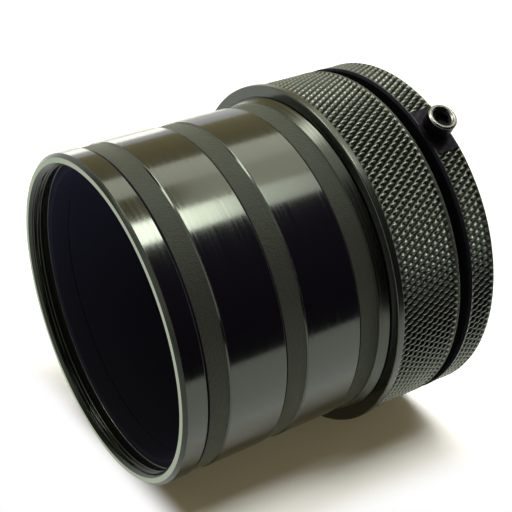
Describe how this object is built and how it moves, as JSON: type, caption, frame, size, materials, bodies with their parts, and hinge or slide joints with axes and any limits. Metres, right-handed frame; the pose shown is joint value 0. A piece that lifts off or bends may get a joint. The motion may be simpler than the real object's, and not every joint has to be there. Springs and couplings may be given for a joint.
{
  "type": "telescope camera adapter",
  "caption": "Black tube adapter that joins a camera to a telescope: filter thread in front, stacked rings, knurled focusing collar and a clamp ring with a set screw at the rear.",
  "frame": {"origin": "centre of the rear face, where the telescope's nosepiece enters the clamp ring", "axes": "+Z along the optical axis towards the camera thread at the front, -Y towards the clamp screw, +X across"},
  "size_m": [0.0676, 0.0709, 0.064],
  "materials": {
    "anodised_black": "gloss black anodised, with matte turned bands",
    "knurled_black": "black anodised over diamond knurling",
    "washer_plastic": "smooth black low-friction plastic",
    "key_steel": "plain turned steel",
    "screw_black": "black oxide",
    "tip_plastic": "natural moulded"
  },
  "bodies": {
    "tube": {"base_ring": "anodised_black", "rear_extension_ring": "anodised_black", "front_extension_ring": "anodised_black", "front_ring": "anodised_black", "retaining_ring": "anodised_black", "thrust_washer": "washer_plastic", "guide_keys": "key_steel"},
    "collar": {"knurled_collar": "knurled_black", "slip_washer": "washer_plastic"},
    "slider": {"draw_sleeve": "anodised_black", "clamp_ring": "knurled_black"},
    "screw_tip": {"screw_tip": "tip_plastic"},
    "clamp_screw": {"clamp_screw": "screw_black"}
  },
  "joints": [
    {"name": "collar_turn", "type": "hinge", "parent": "tube", "child": "collar", "pos_m": [0, 0, 0.0154], "axis": [0, 0, 1], "range_deg": [-144.01, 216.01]},
    {"name": "sleeve_slide", "type": "slide", "parent": "tube", "child": "slider", "axis": [0, 0, -1], "range_m": [-0.0016, 0.0024]},
    {"name": "tip_slide", "type": "slide", "parent": "slider", "child": "screw_tip", "axis": [0, -1, 0], "range_m": [-0.001, 0.0025]},
    {"name": "screw_turn", "type": "hinge", "parent": "screw_tip", "child": "clamp_screw", "pos_m": [0, -0.034, 0.00302], "axis": [0, -1, 0], "range_deg": [-720.1, 1800.1]}
  ],
  "couplings": [
    {"joint": "collar_turn", "follows": "sleeve_slide", "rad_per_m": 1570.8},
    {"joint": "screw_turn", "follows": "tip_slide", "rad_per_m": 12566}
  ]
}
